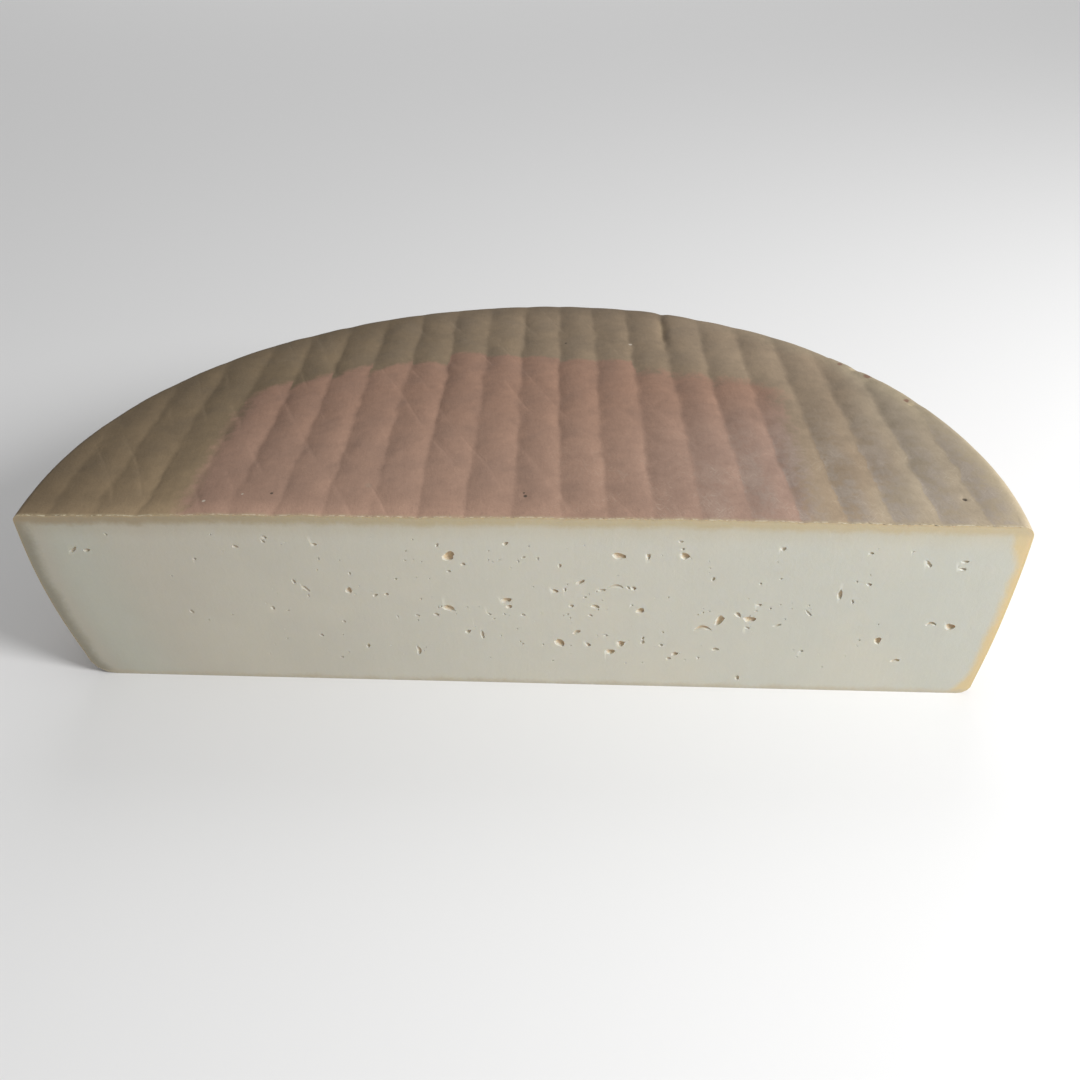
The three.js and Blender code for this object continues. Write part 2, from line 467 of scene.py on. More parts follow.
# Eyes of the paste. The large ones have a place each: X, Z, width, height, slant in degrees and
# bend, in millimetres; the many small ones and the pricks are strewn.
eyes = dict(
    large=(
        (-17.4, 52.9, 4.2, 3.2, 20, 0.0),
        (33.7, 53.9, 4.4, 2.3, -24, 0.2),
        (42.3, 53.9, 1.3, 2.6, 0, 0.0),
        (52.9, 54.3, 3.1, 2.4, -10, 0.0),
        (64.9, 29.2, 4.6, 2.2, 62, 0.0),
        (74.0, 29.9, 3.6, 2.4, -8, 0.0),
        (59.9, 25.9, 5.0, 1.8, 0, -0.9),
        (70.3, 31.7, 2.7, 1.5, 125, 0.0),
        (34.7, 18.6, 2.8, 2.3, 30, 0.0),
        (31.3, 15.0, 3.2, 2.2, 15, 0.0),
        (15.3, 18.4, 3.8, 2.8, 126, 0.3),
        (-0.9, 35.9, 3.0, 2.2, 20, 0.0),
        (-0.1, 33.3, 1.9, 1.7, 0, 0.0),
        (-19.1, 32.2, 4.6, 2.1, -9, -0.3),
        (134.2, 28.4, 3.1, 2.6, 10, 0.0),
        (128.5, 29.4, 3.0, 1.5, 0, -0.6),
        (113.8, 22.1, 2.6, 2.4, 0, 0.0),
        (-49.9, 38.8, 2.4, 2.2, 0, 0.0),
        (99.7, 40.4, 3.7, 1.6, 99, 0.0),
        (33.0, 42.2, 4.6, 1.2, 0, -0.7),
        (-30.6, 13.9, 4.1, 1.5, 88, 0.5),
        (-9.2, 21.3, 3.4, 1.4, 99, 0.0),
        (-13.8, 22.5, 2.2, 1.4, 20, 0.0),
        (22.1, 43.6, 3.0, 1.3, 37, 0.0),
        (28.6, 40.6, 2.4, 1.1, 10, 0.0),
        (14.2, 40.0, 2.1, 1.8, 0, 0.0),
        (40.5, 32.6, 2.7, 2.1, 20, 0.0),
        (-63.5, 39.3, 2.7, 1.4, 136, 0.0),
        (-134.2, 53.2, 3.2, 1.3, 39, 0.0),
        (-129.8, 53.2, 2.2, 1.4, 10, 0.0),
        (123.2, 52.6, 3.2, 1.3, 134, 0.0),
        (133.0, 50.9, 2.4, 1.2, 0, 0.0),
        (133.2, 53.6, 2.3, 1.1, 8, 0.0),
        (26.6, 34.0, 2.7, 1.6, -15, 0.0),
        (120.6, 13.8, 2.6, 1.4, 10, 0.0),
        (64.5, 17.0, 2.4, 1.4, 0, 0.0),
        (20.8, 23.2, 2.6, 1.4, 25, 0.0),
        (51.9, 14.6, 2.1, 1.6, 40, 0.0),
        (50.0, 12.6, 1.6, 1.2, 0, 0.0),
        (72.4, 4.6, 1.3, 2.3, 0, 0.0),
        (-72.7, 59.2, 1.5, 1.4, 0, 0.0),
        (-82.4, 55.5, 2.2, 1.2, -12, 0.0),
        (-38.2, 37.5, 1.5, 1.2, 0, 0.0),
        (-41.8, 37.0, 1.7, 1.1, 15, 0.0),
        (91.4, 32.9, 3.4, 1.0, 124, 0.0),
        (81.1, 57.4, 2.2, 1.2, 20, 0.0),
        (82.6, 27.6, 2.7, 1.0, 20, 0.0),
        (107.6, 44.5, 1.7, 1.2, 0, 0.0),
        (76.3, 35.8, 1.6, 1.1, 0, 0.0),
        (47.4, 18.3, 1.5, 1.1, 0, 0.0),
    ),
    small=52,
    pricks=150,
    middle=22.0,  # X round which the strewn ones gather, and how widely, in mm
    spread=72.0,
    margin=5.0,  # none closer to the face's edges than this, in mm
    apart=0.3,  # gap between two of one batch, in mm
    depth=0.34,  # as a share of the lesser of width and height, plus a least depth
    leastDepth=0.12 * mm,
    lean=0.85,  # how far the deep end lies to the right, for each millimetre of depth
    rise=0.4,  # and how far it lies up, for each millimetre of that
    rough=0.42,
    around=14,
    rings=7,
    seed=5,
)


def strewnEyes():
    # Small slit-like eyes and round pricks, denser in the middle and right of the face.
    rng = np.random.default_rng(eyes["seed"])
    rows = []
    for count, low, high in ((eyes["small"], 1.0, 1.9), (eyes["pricks"], 0.35, 0.9)):
        x = np.clip(rng.normal(eyes["middle"], eyes["spread"], count), -135, 138)
        z = rng.uniform(2 * eyes["margin"], 60, count)
        width = rng.uniform(low, high, count)
        height = width * rng.uniform(0.5, 1.0, count)
        slant = rng.uniform(0, 180, count)
        rows.append(np.stack([x, z, width, height, slant, 0 * x], -1))
    rows = np.concatenate(rows)
    inside = np.abs(rows[:, 0]) < 122 + 0.28 * rows[:, 1] - eyes["margin"]
    return rows[inside]


def eyeBatches():
    # Sorts the eyes into batches, so that no two of one batch touch.
    batches = []
    for row in np.concatenate([np.array(eyes["large"]), strewnEyes()]):
        for batch in batches:
            away = [math.dist(row[:2], other[:2]) - 0.62 * (row[2] + other[2]) for other in batch]
            if min(away) > eyes["apart"]:
                batch.append(row)
                break
        else:
            batches.append([row])
    return batches


def eyeBalls(rows, seed):
    # Uneven balls whose equator lies in the cut: width and height across, a depth from both, with
    # the deep end pushed to the right and up. Arrays are balls by rings by places round a ring.
    rng = np.random.default_rng(seed)
    around, rings = eyes["around"], eyes["rings"]
    rows = np.array(rows) * np.array([mm, mm, mm, mm, 1, mm])
    x, z, width, height, slant, bend = (rows[:, i, None, None] for i in range(6))
    turn = np.linspace(0, 2 * np.pi, around, endpoint=False)[None, None, :]
    tip = np.linspace(-np.pi / 2, np.pi / 2, rings + 2)[None, 1:-1, None]
    bumpy = np.ones((len(rows), rings, around))
    for n in (2, 3, 5, 7):
        size = rng.uniform(0.3, 1, (len(rows), 1, 1)) * eyes["rough"] / n
        phase = rng.uniform(0, 2 * np.pi, (len(rows), 1, 1))
        bumpy = bumpy + size * np.sin(n * turn + 1.3 * tip + phase)
    depth = np.minimum(width, height) * eyes["depth"] + eyes["leastDepth"]
    flat = np.cos(tip) ** 0.8 * bumpy
    a = 0.5 * width * np.cos(turn) * flat
    b = 0.5 * height * np.sin(turn) * flat
    b = b + bend * ((2 * a / width) ** 2 - 0.4)
    y = depth * np.sin(tip) + 0 * a
    cos = np.cos(np.radians(slant))
    sin = np.sin(np.radians(slant))
    lean = eyes["lean"] * np.clip(y, 0, None)
    px = x + a * cos - b * sin + lean
    pz = z + a * sin + b * cos + eyes["rise"] * lean
    body = np.stack([px, wheel["cutY"] + y, pz], -1).reshape(len(rows), -1, 3)
    ends = []
    for side in (-1, 1):
        push = eyes["lean"] * max(side, 0) * depth
        end = np.stack([x + push, wheel["cutY"] + side * depth, z + eyes["rise"] * push], -1)
        ends.append(end.reshape(len(rows), 1, 3))
    return np.concatenate([body] + ends, axis=1)


def ballFaces(count):
    # Quads between the rings and a fan at each end, for every ball.
    around, rings = eyes["around"], eyes["rings"]
    index = np.arange(around * rings).reshape(rings, around)
    side = np.roll(index, -1, axis=1)
    quads = np.stack([index[:-1], side[:-1], side[1:], index[1:]], -1).reshape(-1, 4)
    low = np.stack([side[0], index[0], np.full(around, around * rings)], -1)
    high = np.stack([index[-1], side[-1], np.full(around, around * rings + 1)], -1)
    shift = (np.arange(count) * (around * rings + 2))[:, None, None]
    faces = (quads + shift).reshape(-1, 4).tolist()
    faces += (low + shift).reshape(-1, 3).tolist()
    faces += (high + shift).reshape(-1, 3).tolist()
    return faces


def cutEyes(cheese):
    # Takes each batch of balls out of the cheese; their walls get the paste's material.
    for number, batch in enumerate(eyeBatches()):
        points = eyeBalls(batch, eyes["seed"] + number)
        mesh = bpy.data.meshes.new("eyes")
        mesh.from_pydata(points.reshape(-1, 3), [], ballFaces(len(points)))
        mesh.polygons.foreach_set("material_index", np.ones(len(mesh.polygons), np.int32))
        mesh.materials.append(cheese.data.materials[0])
        mesh.materials.append(cheese.data.materials[1])
        work = bmesh.new()
        work.from_mesh(mesh)
        bmesh.ops.recalc_face_normals(work, faces=work.faces)
        work.to_mesh(mesh)
        work.free()
        balls = bpy.data.objects.new("eyes", mesh)
        bpy.context.collection.objects.link(balls)
        carve = cheese.modifiers.new("eyes", "BOOLEAN")
        carve.operation = "DIFFERENCE"
        carve.solver = "MANIFOLD"
        carve.object = balls
        bpy.context.view_layer.update()
        whole = cheese.evaluated_get(bpy.context.evaluated_depsgraph_get())
        carved = bpy.data.meshes.new_from_object(whole)
        cheese.modifiers.clear()
        cheese.data = carved
        bpy.data.objects.remove(balls)
    print("eyes cut:", len(cheese.data.polygons), "faces")


# Where the rind reddened, in millimetres: how far back from the axis it reaches on each rib, from
# the left, where it ends at both sides, and how softly.
redZone = dict(
    first=-9,  # number of the first rib listed
    edges=(34, 50, 70, 76, 83, 86, 89, 97, 95, 94, 91, 91, 82, 79, 76, 74, 68, 72),
    leftRibs=6,  # so many ribs have the left kind of edge, and the middle kind ends here
    middleRibs=12,
    softLeft=9.0,  # how softly the edge fades on each kind of rib
    softMiddle=5.0,
    softRight=14.0,
    slant=0.9,  # how far the left kind of edge runs back across its rib, as a slope
    leftEnd=-98.0,
    leftSoft=13.0,
    rightEnd=88.0,
    rightSoft=15.0,
)


def redShare(x, y, k):
    # 1 inside the reddened part: sharp at the back of the left ribs, soft towards the right.
    rib = np.clip(np.floor(k).astype(int) - redZone["first"], 0, len(redZone["edges"]) - 1)
    edge = np.array(redZone["edges"])[rib] * mm
    soft = np.where(rib < redZone["middleRibs"], redZone["softMiddle"], redZone["softRight"])
    soft = np.where(rib < redZone["leftRibs"], redZone["softLeft"], soft) * mm
    slant = np.where(rib < redZone["leftRibs"], redZone["slant"], 0.0)
    slant = slant * (k - np.floor(k) - 0.5) * ribs["pitch"]
    back = np.clip(0.5 + (edge + slant - y) / soft, 0, 1)
    left = np.clip(0.5 + (x / mm - redZone["leftEnd"]) / redZone["leftSoft"], 0, 1)
    right = np.clip(0.5 + (redZone["rightEnd"] - x / mm) / redZone["rightSoft"], 0, 1)
    return back * left * right


def addValues(mesh, corner):
    # What the finishes need to know at each point, worked out from its place.
    place = np.empty(len(mesh.vertices) * 3, np.float32)
    mesh.vertices.foreach_get("co", place)
    x, y, z = place.reshape(-1, 3).astype(float).T
    sideX, sideZ = corner
    right = np.interp(z, sideZ[:, 0], sideX[:, 0]) - x
    left = x - np.interp(z, sideZ[:, -1], sideX[:, -1])
    angle = np.arctan2(y, x)
    shoulder = shoulderAt(angle)
    k = ribNumber(x, y)
    fromRim = sideRadius(rimHeight) * outlineShare(angle) - np.hypot(x, y)
    values = dict(
        ribAt=k,
        foldAt=foldNumber(x, y),
        foldShow=foldShow(x, y),
        red=redShare(x, y, k),
        topShare=np.clip((z - rimHeight + shoulder) / (0.8 * shoulder), 0, 1),
        fromRim=fromRim / mm,
        around=angle * wheel["radius"] / mm,
        underTop=(topHeight(x, np.full_like(x, wheel["cutY"])) - z) / mm,
        underRight=right / mm,
        underLeft=left / mm,
        pit=(y - wheel["cutY"]) / mm,
    )
    for name, value in values.items():
        layer = mesh.attributes.new(name, "FLOAT", "POINT")
        layer.data.foreach_set("value", value.astype(np.float32))


# Flat map for baking: the cut, the top, the side unrolled and the bottom, set out in a square.
flatMap = dict(
    square=385.0,  # the square's side in millimetres
    left=(156, 156, 10, 100),  # place of each chart's zero in the square: cut, top, side, bottom
    low=(4, 76, 235, 290),
    scale=(1.0, 1.0, 0.75, 0.6),
    sideSpan=350.0,  # length of the unrolled side
)


def addMap(mesh):
    # The cut and the side go up by height, the top and the bottom by distance behind the cut.
    loops = len(mesh.loops)
    vertex = np.empty(loops, np.int32)
    mesh.loops.foreach_get("vertex_index", vertex)
    place = np.empty(len(mesh.vertices) * 3, np.float32)
    mesh.vertices.foreach_get("co", place)
    place = place.reshape(-1, 3)[vertex] / mm
    count = len(mesh.polygons)
    totals = np.empty(count, np.int32)
    slots = np.empty(count, np.int32)
    normals = np.empty(count * 3, np.float32)
    mesh.polygons.foreach_get("loop_total", totals)
    mesh.polygons.foreach_get("material_index", slots)
    mesh.polygons.foreach_get("normal", normals)
    up = normals.reshape(-1, 3)[:, 2]
    chart = np.where(slots == 1, 0, np.where(up > 0.75, 1, np.where(up < -0.9, 3, 2)))
    chart = np.repeat(chart, totals)
    x, y, z = place.T
    behind = y - wheel["cutY"] / mm
    scale = np.array(flatMap["scale"])[chart]
    unrolled = np.arctan2(y, x) / np.pi * flatMap["sideSpan"]
    u = np.array(flatMap["left"])[chart] + np.where(chart == 2, unrolled, scale * x)
    v = np.array(flatMap["low"])[chart] + scale * np.where(chart % 2 == 0, z, behind)
    layer = mesh.uv_layers.new(name="OFBake")
    layer.data.foreach_set("uv", np.stack([u, v], -1).astype(np.float32).ravel() / flatMap["square"])


class Finish:
    # Shorthand for building a material's nodes. Values that vary over the surface go through
    # these; plain numbers are set on the shader itself.
    def __init__(self, name):
        self.material = bpy.data.materials.new(name)
        self.material.use_nodes = True
        self.tree = self.material.node_tree
        self.shader = self.tree.nodes["Principled BSDF"]
        self.place = self.node("ShaderNodeTexCoord").outputs["Object"]

    def node(self, kind, **settings):
        made = self.tree.nodes.new(kind)
        for key, value in settings.items():
            setattr(made, key, value)
        return made

    def put(self, socket, value):
        if isinstance(value, bpy.types.NodeSocket):
            self.tree.links.new(value, socket)
        else:
            socket.default_value = (*value, 1) if socket.type == "RGBA" else value

    def value(self, name):
        return self.node("ShaderNodeAttribute", attribute_name=name).outputs["Fac"]

    def axis(self, name):
        # One coordinate of the place, in millimetres.
        split = self.node("ShaderNodeSeparateXYZ")
        self.put(split.inputs[0], self.place)
        return self.times(split.outputs[name], 1 / mm)

    def math(self, operation, *values):
        made = self.node("ShaderNodeMath", operation=operation)
        for socket, value in zip(made.inputs, values):
            self.put(socket, value)
        return made.outputs[0]

    def times(self, first, second):
        return self.math("MULTIPLY", first, second)

    def vary(self, noise, amount, base=0.0):
        # Adds noise to a base, centred so that it takes away as much as it adds.
        return self.math("MULTIPLY_ADD", self.math("SUBTRACT", noise, 0.5), amount, base)

    def noise(self, size, detail=2.0, stretch=(1, 1, 1), turn=0.0, rough=0.5, warp=0.0):
        # Noise whose features are about this size in millimetres, stretched along the axes.
        mapping = self.node("ShaderNodeMapping", vector_type="TEXTURE")
        self.put(mapping.inputs["Vector"], self.place)
        mapping.inputs["Rotation"].default_value = (0, 0, math.radians(turn))
        mapping.inputs["Scale"].default_value = [mm * size * s for s in stretch]
        made = self.node("ShaderNodeTexNoise")
        self.put(made.inputs["Vector"], mapping.outputs[0])
        made.inputs["Scale"].default_value = 1.0
        made.inputs["Detail"].default_value = detail
        made.inputs["Roughness"].default_value = rough
        made.inputs["Distortion"].default_value = warp
        return made.outputs["Fac"]

    def spread(self, value, low, high, toLow=0.0, toHigh=1.0, smooth=True):
        # Stretches the range low to high onto toLow to toHigh, and clamps it.
        made = self.node("ShaderNodeMapRange", interpolation_type="SMOOTHSTEP" if smooth else "LINEAR")
        for socket, item in zip(made.inputs, (value, low, high, toLow, toHigh)):
            self.put(socket, item)
        return made.outputs[0]

    def mix(self, amount, first, second, blend="MIX"):
        made = self.node("ShaderNodeMix", data_type="RGBA", blend_type=blend)
        self.put(made.inputs[0], amount)
        self.put(made.inputs[6], first)
        self.put(made.inputs[7], second)
        return made.outputs[2]

    def shade(self, colour, factor):
        # Multiplies a colour by a factor that varies.
        made = self.node("ShaderNodeVectorMath", operation="SCALE")
        self.put(made.inputs[0], colour)
        self.put(made.inputs["Scale"], factor)
        return made.outputs[0]

    def line(self, number, width):
        # 1 on each whole number and 0 further than the width from it.
        near = self.math("PINGPONG", self.math("ABSOLUTE", number), 0.5)
        return self.spread(near, 0.0, width, 1.0, 0.0)

    def spot(self, x, y, radius):
        # 1 in a round spot seen from above, with an uneven edge.
        flat = self.node("ShaderNodeVectorMath", operation="MULTIPLY")
        self.put(flat.inputs[0], self.place)
        flat.inputs[1].default_value = (1, 1, 0)
        away = self.node("ShaderNodeVectorMath", operation="DISTANCE")
        self.put(away.inputs[0], flat.outputs[0])
        away.inputs[1].default_value = (x * mm, y * mm, 0)
        return self.spread(away.outputs["Value"], 0.55 * radius * mm, 1.25 * radius * mm, 1.0, 0.0)

    def bump(self, height, distance, below=None):
        made = self.node("ShaderNodeBump")
        made.inputs["Strength"].default_value = 1.0
        made.inputs["Distance"].default_value = distance
        self.put(made.inputs["Height"], height)
        if below is not None:
            self.put(made.inputs["Normal"], below)
        return made.outputs["Normal"]


rind = dict(
    wide=38.0,  # sizes of the noises, from slow to fine, in millimetres
    patch=11.0,
    mottle=3.2,
    grain=0.8,
    grainDepth=0.03 * mm,
    mottleDepth=0.15 * mm,
    strokeDepth=0.05 * mm,
    creaseDepth=0.06 * mm,
    weaveDepth=0.05 * mm,
    warpPitch=1.5,  # threads of the press cloth, in millimetres
    weftPitch=1.3,
    powder=0.7,
    scratch=0.16,
    scuff=0.12,
    gloss=0.2,
    olive=(0.162, 0.118, 0.070),
    taupe=(0.222, 0.166, 0.110),
    tan=(0.258, 0.196, 0.134),
    cream=(0.266, 0.218, 0.157),
    rim=(0.362, 0.300, 0.205),
    red=(0.285, 0.171, 0.119),
    redFront=(0.288, 0.182, 0.132),
    redRight=(0.288, 0.193, 0.150),
    bloom=(0.262, 0.226, 0.194),
    side=(0.34, 0.25, 0.145),
    sideDark=(0.22, 0.15, 0.085),
    sidePale=(0.44, 0.36, 0.235),
    crumb=(0.66, 0.59, 0.43),
    edge=(0.42, 0.34, 0.21),
    stain=(0.20, 0.11, 0.075),
    dark=(0.05, 0.038, 0.028),
    white=(0.50, 0.44, 0.36),
    ring=(0.30, 0.205, 0.15),
)

# Small marks on the top: X, Y, radius in millimetres and colour.
marks = (
    (134.0, 4.0, 0.75, "dark"),
    (5.5, 2.2, 0.6, "dark"),
    (5.0, 3.6, 0.35, "dark"),
    (-72.0, 2.0, 0.55, "dark"),
    (-92.0, -2.0, 0.6, "white"),
    (-81.0, 1.5, 0.4, "white"),
    (-43.0, 6.5, 1.2, "ring"),
    (121.0, 80.0, 1.5, "stain"),
    (113.0, 89.0, 1.0, "stain"),
    (130.5, 62.5, 1.0, "stain"),
    (117.0, 86.0, 1.2, "sidePale"),
    (131.5, 60.0, 1.2, "sidePale"),
    (37.6, 105.5, 0.7, "white"),
    (13.0, 106.0, 0.5, "dark"),
)


def rindFinish():
    # Washed rind: a reddened middle on an olive-brown ground that pales to cream on the right,
    # darker in the grooves, with fine mottling, powder, scratches and dry scaly grain.
    f = Finish("rind")
    x = f.axis("X")
    y = f.axis("Y")
    z = f.axis("Z")
    onTop = f.value("topShare")
    wide = f.noise(rind["wide"], 2)
    patch = f.noise(rind["patch"], 3)
    mottle = f.noise(rind["mottle"], 3, rough=0.6)
    grain = f.noise(rind["grain"], 3, rough=0.6)
    stroke = f.noise(5, 3, (0.22, 1.0, 1.0), 8, 0.6)
    # Ground: olive, taupe, tan and cream from left to right, darker at the back and pale at the rim.
    shifted = f.vary(wide, 60.0, x)
    ground = f.mix(f.spread(shifted, -120, 40), rind["olive"], rind["taupe"])
    ground = f.mix(f.spread(shifted, 40, 95), ground, rind["tan"])
    ground = f.mix(f.spread(shifted, 96, 126), ground, rind["cream"])
    ground = f.shade(ground, f.spread(y, 70, 98, 1, 1.12))
    back = f.math("ADD", f.value("fromRim"), f.spread(x, 30, 100, 0, 20))
    ground = f.shade(ground, f.spread(back, 0, 18, 0.80, 1))
    frontLeft = f.times(f.spread(y, 50, -5), f.spread(x, -138, -108))
    ground = f.shade(ground, f.math("MULTIPLY_ADD", frontLeft, 0.30, 1.0))
    frontRight = f.times(f.spread(y, 46, 18), f.spread(x, 78, 96))
    ground = f.shade(ground, f.math("MULTIPLY_ADD", frontRight, -0.14, 1.0))
    nearRim = f.spread(f.vary(patch, 8.0, f.value("fromRim")), 1, 12, 1, 0)
    nearRim = f.times(nearRim, f.spread(x, 40, 140))
    ground = f.mix(nearRim, ground, rind["rim"])
    # Reddened part, with an edge that frays.
    red = f.vary(patch, 0.5, f.vary(mottle, 0.7, f.value("red")))
    red = f.spread(red, 0.2, 0.8)
    redness = f.mix(f.spread(y, 75, 5), rind["red"], rind["redFront"])
    redness = f.mix(f.times(f.spread(x, 20, 95), f.spread(y, 80, 20)), redness, rind["redRight"])
    redness = f.shade(redness, f.spread(x, -105, -45, 0.86, 1))
    top = f.mix(red, ground, redness)
    # Place across each rib, from 0 at its left groove to 1 at its right one, with a ragged line.
    ragged = f.noise(4.5, 3, (1, 0.8, 1), rough=0.65)
    across = f.math("FRACT", f.vary(ragged, 0.2, f.value("ribAt")))
    # Painted light on the ribs: the right side of each rib lighter and the left side darker, as the
    # light falls from the right.
    paintedHighlight = f.times(f.spread(across, 0.45, 0.85), f.spread(across, 1.0, 0.92))
    paintedShade = f.times(f.spread(across, 0.55, 0.15), f.spread(across, 0.0, 0.09))
    # Pale powder towards the front right, in the hollows, and short pale scratches.
    powder = f.times(f.spread(x, 35, 110), f.spread(y, 75, 5))
    powder = f.times(powder, f.spread(across, 0.8, 0.35))
    powder = f.times(powder, f.spread(f.math("ADD", patch, mottle), 0.75, 1.15))
    top = f.mix(f.times(powder, rind["powder"]), top, rind["bloom"])
    scratch = 0.0
    for turn in (-38, 24, 75):
        stroked = f.spread(f.noise(1.7, 1, (0.22, 2.4, 1), turn), 0.62, 0.72)
        scratch = f.math("MAXIMUM", scratch, stroked)
    scratch = f.times(scratch, f.times(f.spread(x, -20, 60), f.spread(y, 60, 10)))
    scratch = f.times(scratch, f.spread(patch, 0.42, 0.6))
    top = f.mix(f.times(scratch, rind["scratch"]), top, rind["white"])
    # Painted highlight on the right side of each rib and painted shade on its left side, as lit from
    # the right, both in patches; the folds as faint lines of painted shade.
    crease = f.times(f.line(f.value("foldAt"), 0.085), f.value("foldShow"))
    crease = f.times(crease, f.spread(mottle, 0.35, 0.6, 0.1, 1.0))
    # The painted highlight and painted shade are weaker just behind the cut, except at the left.
    behindCut = f.spread(f.math("MAXIMUM", y, f.math("SUBTRACT", -100, x)), -9, 8, 0.5, 1.0)
    paintedHighlight = f.times(paintedHighlight, behindCut)
    paintedShade = f.times(paintedShade, behindCut)
    # The painted highlight lightens the top's tone and the painted shade darkens it.
    tone = f.math("MULTIPLY_ADD", paintedHighlight, f.spread(patch, 0.3, 0.65, 0.0, 0.09), 1.0)
    tone = f.math("MULTIPLY_ADD", paintedShade, f.spread(patch, 0.3, 0.65, -0.075, 0.0), tone)
    # Painted shade along the fold lines.
    tone = f.math("MULTIPLY_ADD", crease, -0.06, tone)
    # Rubbed paler just behind the cut, mostly at the left.
    tone = f.math("MULTIPLY_ADD", f.spread(y, 1, -8), f.spread(x, 60, -125, 0.06, 0.28), tone)
    # Painted shade, a little darker towards the back as the light falls off, and mottling at several
    # sizes.
    tone = f.times(tone, f.spread(y, 0, 115, 1.09, 0.85, smooth=False))
    tone = f.vary(wide, 0.16, tone)
    tone = f.vary(patch, 0.26, tone)
    tone = f.vary(mottle, 0.26, tone)
    tone = f.vary(grain, 0.09, tone)
    tone = f.vary(stroke, 0.10, tone)
    top = f.shade(top, tone)
    # Side and bottom: tan, darker low down, with pale and brown patches.
    height = f.vary(wide, 40.0, z)
    side = f.mix(f.spread(height, 0, 45), rind["sideDark"], rind["side"])
    blotch = f.vary(mottle, 0.5, patch)
    side = f.mix(f.spread(blotch, 0.48, 0.8, 0, 0.8), side, rind["sidePale"])
    side = f.mix(f.spread(x, 60, 150, 0, 0.5), side, rind["sidePale"])
    side = f.shade(side, f.math("MULTIPLY_ADD", mottle, 0.5, 0.75))
    side = f.shade(side, f.math("MULTIPLY_ADD", grain, 0.4, 0.8))
    colour = f.mix(onTop, side, top)
    strength = f.times(onTop, 0.85)
    for markX, markY, radius, name in marks:
        colour = f.mix(f.times(f.spot(markX, markY, radius), strength), colour, rind[name])
    # Dry pale crumbs along the edge of the cut, and scuffs just behind it.
    dash = f.noise(1.5, 2, (1.0, 0.6, 1.0), rough=0.6)
    behind = f.vary(dash, 1.6, f.value("pit"))
    colour = f.mix(f.times(f.spread(behind, 0.1, 1.9, 0.4, 0), onTop), colour, rind["edge"])
    speck = f.times(f.spread(behind, 0.0, 1.1, 1, 0), f.spread(dash, 0.49, 0.59, 0.0, 0.95))
    speck = f.times(speck, f.spread(x, -120, -80, 1.0, 0.85))
    colour = f.mix(speck, colour, rind["crumb"])
    scuff = f.spread(f.noise(1.2, 2, (0.5, 1.6, 1), 20), 0.56, 0.7)
    scuff = f.times(f.spread(f.value("pit"), 1, 13, 1, 0), scuff)
    colour = f.mix(f.times(scuff, rind["scuff"]), colour, rind["dark"])
    f.put(f.shader.inputs["Base Color"], colour)
    roughness = f.math("ADD", patch, f.times(grain, 0.5))
    f.put(f.shader.inputs["Roughness"], f.spread(roughness, 0.4, 1.1, 0.60, 0.82))
    f.shader.inputs["Specular IOR Level"].default_value = rind["gloss"]
    normal = f.bump(grain, rind["grainDepth"])
    normal = f.bump(mottle, rind["mottleDepth"], normal)
    normal = f.bump(stroke, rind["strokeDepth"], normal)
    normal = f.bump(f.times(f.times(crease, onTop), -1.0), rind["creaseDepth"], normal)
    # Print of the press cloth round the side.
    warp = f.math("SINE", f.times(f.value("around"), 2 * math.pi / rind["warpPitch"]))
    weft = f.math("SINE", f.times(z, 2 * math.pi / rind["weftPitch"]))
    weave = f.times(f.math("ADD", warp, weft), f.math("SUBTRACT", 1.0, onTop))
    weave = f.times(weave, f.spread(patch, 0.35, 0.65, 0.2, 1.0))
    normal = f.bump(weave, rind["weaveDepth"], normal)
    f.put(f.shader.inputs["Normal"], normal)
    return f.material


paste = dict(
    wide=34.0,  # sizes of the noises, from slow to fine, in millimetres
    patch=9.0,
    streak=2.6,
    grain=1.1,
    fine=0.45,
    grainDepth=0.04 * mm,
    fineDepth=0.02 * mm,
    streakDepth=0.015 * mm,
    gloss=0.4,
    glow=0.3,  # share of the light that enters the paste, and how far each colour travels in it
    glowReach=(3.0 * mm, 2.2 * mm, 1.2 * mm),
    left=(0.500, 0.465, 0.385),
    ivory=(0.560, 0.538, 0.458),
    right=(0.500, 0.496, 0.432),
    warm=(0.570, 0.535, 0.440),
    topBand=(0.485, 0.405, 0.258),
    topBandLeft=(0.33, 0.262, 0.168),
    leftBand=(0.262, 0.238, 0.178),
    rightBand=(0.60, 0.475, 0.260),
    leftCool=(0.455, 0.462, 0.390),
    rindLine=(0.38, 0.29, 0.17),
    bottomBand=(0.48, 0.42, 0.31),
    eyeShade=(0.66, 0.50, 0.31),
    eyeDeepShade=(0.62, 0.43, 0.24),
)


